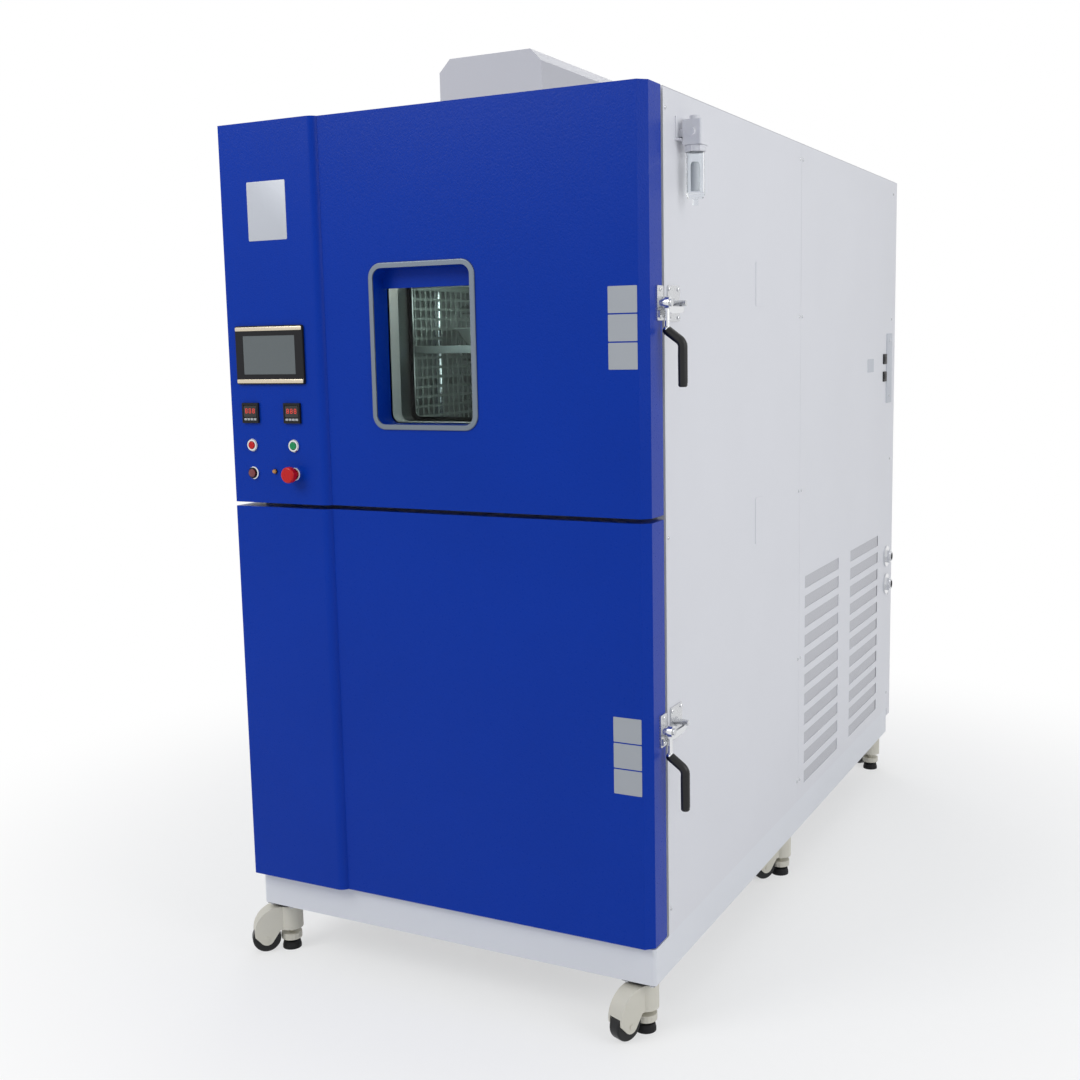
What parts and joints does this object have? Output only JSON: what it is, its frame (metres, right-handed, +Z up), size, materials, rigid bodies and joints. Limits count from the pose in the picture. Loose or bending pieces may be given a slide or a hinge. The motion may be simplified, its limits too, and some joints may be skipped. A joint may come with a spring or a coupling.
{
  "type": "environmental test chamber",
  "caption": "Floor-standing two-zone thermal shock test chamber with blue insulated doors, a window, an operator column and a lift basket, on levelling casters.",
  "frame": {"origin": "centre of the bounding box's floor face, on the floor under the levelling pads", "axes": "+X to the right seen from the front, towards the latches; +Y from the doors to the rear; +Z up"},
  "size_m": [1.1862, 2.231, 2.221],
  "materials": {
    "blue_paint": "satin",
    "panel_paint": "satin",
    "frame_paint": "satin",
    "dark_paint": "satin",
    "stainless": "brushed",
    "chrome": "polished",
    "dark_steel": "satin",
    "mineral_wool": "matte",
    "seal_rubber": "matte",
    "wheel_black": "matte",
    "black_plastic": "matte",
    "grip_black": "matte",
    "green_plastic": "gloss",
    "red_plastic": "gloss",
    "window_glass": "gloss",
    "bowl_glass": "gloss",
    "coil_copper": "satin",
    "motor_grey": "satin",
    "cast_ivory": "satin"
  },
  "bodies": {
    "cabinet": {"welded_frame": "frame_paint", "side_panels": "panel_paint", "vent_panels": "panel_paint", "roof_panel": "panel_paint", "rear_cover": "panel_paint", "insulation_block": "mineral_wool", "chamber_liners": "stainless", "air_baffles": "stainless", "heater_coil": "dark_steel", "evaporator": "coil_copper", "refrigeration_set": "dark_paint", "roof_housing": "panel_paint", "lift_cylinder": "dark_steel", "basket_guides": "chrome", "latch_keepers": "chrome", "cabinet_hinges": "chrome", "air_filter_head": "black_plastic", "air_filter_bowl": "bowl_glass", "water_fittings": "chrome", "fan_motors": "motor_grey", "caster_plates": "dark_steel", "door_gaskets": "seal_rubber"},
    "upper_door": {"upper_door_shell": "blue_paint", "upper_door_liner": "stainless", "window_trim": "stainless", "window_panes": "window_glass", "touch_panel": "black_plastic", "panel_instruments": "black_plastic", "upper_latch_body": "chrome"},
    "lower_door": {"lower_door_shell": "blue_paint", "lower_door_liner": "stainless", "lower_latch_body": "chrome"},
    "basket": {"basket": "stainless", "basket_plugs": "stainless"},
    "lift_ram": {"lift_rod": "chrome"},
    "hot_fan": {"hot_fan": "stainless"},
    "cold_fan": {"cold_fan": "stainless"},
    "start_button": {"start_button": "green_plastic"},
    "stop_button": {"stop_button": "red_plastic"},
    "emergency_stop": {"emergency_stop": "red_plastic"},
    "upper_latch": {"upper_latch_lever": "chrome"},
    "lower_latch": {"lower_latch_lever": "chrome"},
    "caster_front_left": {"caster_housing_front_left": "cast_ivory"},
    "wheel_front_left": {"caster_wheel_front_left": "wheel_black"},
    "foot_front_left": {"levelling_foot_front_left": "grip_black"},
    "caster_front_right": {"caster_housing_front_right": "cast_ivory"},
    "wheel_front_right": {"caster_wheel_front_right": "wheel_black"},
    "foot_front_right": {"levelling_foot_front_right": "grip_black"},
    "caster_middle_left": {"caster_housing_middle_left": "cast_ivory"},
    "wheel_middle_left": {"caster_wheel_middle_left": "wheel_black"},
    "foot_middle_left": {"levelling_foot_middle_left": "grip_black"},
    "caster_middle_right": {"caster_housing_middle_right": "cast_ivory"},
    "wheel_middle_right": {"caster_wheel_middle_right": "wheel_black"},
    "foot_middle_right": {"levelling_foot_middle_right": "grip_black"},
    "caster_rear_left": {"caster_housing_rear_left": "cast_ivory"},
    "wheel_rear_left": {"caster_wheel_rear_left": "wheel_black"},
    "foot_rear_left": {"levelling_foot_rear_left": "grip_black"},
    "caster_rear_right": {"caster_housing_rear_right": "cast_ivory"},
    "wheel_rear_right": {"caster_wheel_rear_right": "wheel_black"},
    "foot_rear_right": {"levelling_foot_rear_right": "grip_black"}
  },
  "joints": [
    {"name": "upper_door_hinge", "type": "hinge", "parent": "cabinet", "child": "upper_door", "pos_m": [-0.56988, -0.9815, 1.612], "axis": [0, 0, -1], "range_deg": [0, 120]},
    {"name": "lower_door_hinge", "type": "hinge", "parent": "cabinet", "child": "lower_door", "pos_m": [-0.56988, -0.9815, 0.688], "axis": [0, 0, -1], "range_deg": [0, 120]},
    {"name": "upper_latch_turn", "type": "hinge", "parent": "upper_door", "child": "upper_latch", "pos_m": [0.54912, -1.0035, 1.615], "axis": [-1, 0, 0], "range_deg": [0, 90]},
    {"name": "lower_latch_turn", "type": "hinge", "parent": "lower_door", "child": "lower_latch", "pos_m": [0.54912, -1.0035, 0.699], "axis": [-1, 0, 0], "range_deg": [0, 90]},
    {"name": "start_button_press", "type": "slide", "parent": "upper_door", "child": "start_button", "axis": [0, 1, 0], "range_m": [0, 0.0035], "stiffness_N_per_m": 400},
    {"name": "stop_button_press", "type": "slide", "parent": "upper_door", "child": "stop_button", "axis": [0, 1, 0], "range_m": [0, 0.0035], "stiffness_N_per_m": 400},
    {"name": "emergency_stop_press", "type": "slide", "parent": "upper_door", "child": "emergency_stop", "axis": [0, 1, 0], "range_m": [0, 0.0035]},
    {"name": "basket_lift", "type": "slide", "parent": "cabinet", "child": "basket", "axis": [0, 0, 1], "range_m": [-0.55, 0]},
    {"name": "lift_ram_slide", "type": "slide", "parent": "cabinet", "child": "lift_ram", "axis": [0, -1, 0], "range_m": [0, 0.1375]},
    {"name": "hot_fan_spin", "type": "hinge", "parent": "cabinet", "child": "hot_fan", "pos_m": [-0.01288, -0.3735, 1.535], "axis": [0, 1, 0], "continuous": true},
    {"name": "cold_fan_spin", "type": "hinge", "parent": "cabinet", "child": "cold_fan", "pos_m": [-0.01288, -0.3735, 0.815], "axis": [0, 1, 0], "continuous": true},
    {"name": "caster_swivel_front_left", "type": "hinge", "parent": "cabinet", "child": "caster_front_left", "pos_m": [-0.51088, -1.0065, 0.1], "axis": [0, 0, 1], "continuous": true},
    {"name": "wheel_roll_front_left", "type": "hinge", "parent": "caster_front_left", "child": "wheel_front_left", "pos_m": [-0.55614, -1.05175, 0.036], "axis": [-0.7071, 0.7071, 0], "continuous": true},
    {"name": "foot_level_front_left", "type": "slide", "parent": "caster_front_left", "child": "foot_front_left", "axis": [0, 0, -1], "range_m": [-0.012, 0.01]},
    {"name": "caster_swivel_front_right", "type": "hinge", "parent": "cabinet", "child": "caster_front_right", "pos_m": [0.48512, -1.0065, 0.1], "axis": [0, 0, 1], "continuous": true},
    {"name": "wheel_roll_front_right", "type": "hinge", "parent": "caster_front_right", "child": "wheel_front_right", "pos_m": [0.46115, -1.06584, 0.036], "axis": [-0.9272, 0.3746, 0], "continuous": true},
    {"name": "foot_level_front_right", "type": "slide", "parent": "caster_front_right", "child": "foot_front_right", "axis": [0, 0, -1], "range_m": [-0.012, 0.01]},
    {"name": "caster_swivel_middle_left", "type": "hinge", "parent": "cabinet", "child": "caster_middle_left", "pos_m": [-0.51088, -0.0235, 0.1], "axis": [0, 0, 1], "continuous": true},
    {"name": "wheel_roll_middle_left", "type": "hinge", "parent": "caster_middle_left", "child": "wheel_middle_left", "pos_m": [-0.47888, -0.07893, 0.036], "axis": [-0.866, -0.5, 0], "continuous": true},
    {"name": "foot_level_middle_left", "type": "slide", "parent": "caster_middle_left", "child": "foot_middle_left", "axis": [0, 0, -1], "range_m": [-0.012, 0.01]},
    {"name": "caster_swivel_middle_right", "type": "hinge", "parent": "cabinet", "child": "caster_middle_right", "pos_m": [0.48512, -0.0235, 0.1], "axis": [0, 0, 1], "continuous": true},
    {"name": "wheel_roll_middle_right", "type": "hinge", "parent": "caster_middle_right", "child": "wheel_middle_right", "pos_m": [0.45026, -0.07717, 0.036], "axis": [-0.8387, 0.5446, 0], "continuous": true},
    {"name": "foot_level_middle_right", "type": "slide", "parent": "caster_middle_right", "child": "foot_middle_right", "axis": [0, 0, -1], "range_m": [-0.012, 0.01]},
    {"name": "caster_swivel_rear_left", "type": "hinge", "parent": "cabinet", "child": "caster_rear_left", "pos_m": [-0.51088, 1.0305, 0.1], "axis": [0, 0, 1], "continuous": true},
    {"name": "wheel_roll_rear_left", "type": "hinge", "parent": "caster_rear_left", "child": "wheel_rear_left", "pos_m": [-0.45074, 1.05239, 0.036], "axis": [0.342, -0.9397, 0], "continuous": true},
    {"name": "foot_level_rear_left", "type": "slide", "parent": "caster_rear_left", "child": "foot_rear_left", "axis": [0, 0, -1], "range_m": [-0.012, 0.01]},
    {"name": "caster_swivel_rear_right", "type": "hinge", "parent": "cabinet", "child": "caster_rear_right", "pos_m": [0.48512, 1.0305, 0.1], "axis": [0, 0, 1], "continuous": true},
    {"name": "wheel_roll_rear_right", "type": "hinge", "parent": "caster_rear_right", "child": "wheel_rear_right", "pos_m": [0.43831, 1.07415, 0.036], "axis": [0.682, 0.7314, 0], "continuous": true},
    {"name": "foot_level_rear_right", "type": "slide", "parent": "caster_rear_right", "child": "foot_rear_right", "axis": [0, 0, -1], "range_m": [-0.012, 0.01]}
  ],
  "couplings": [
    {"joint": "lift_ram_slide", "follows": "basket_lift", "ratio": -0.25}
  ]
}
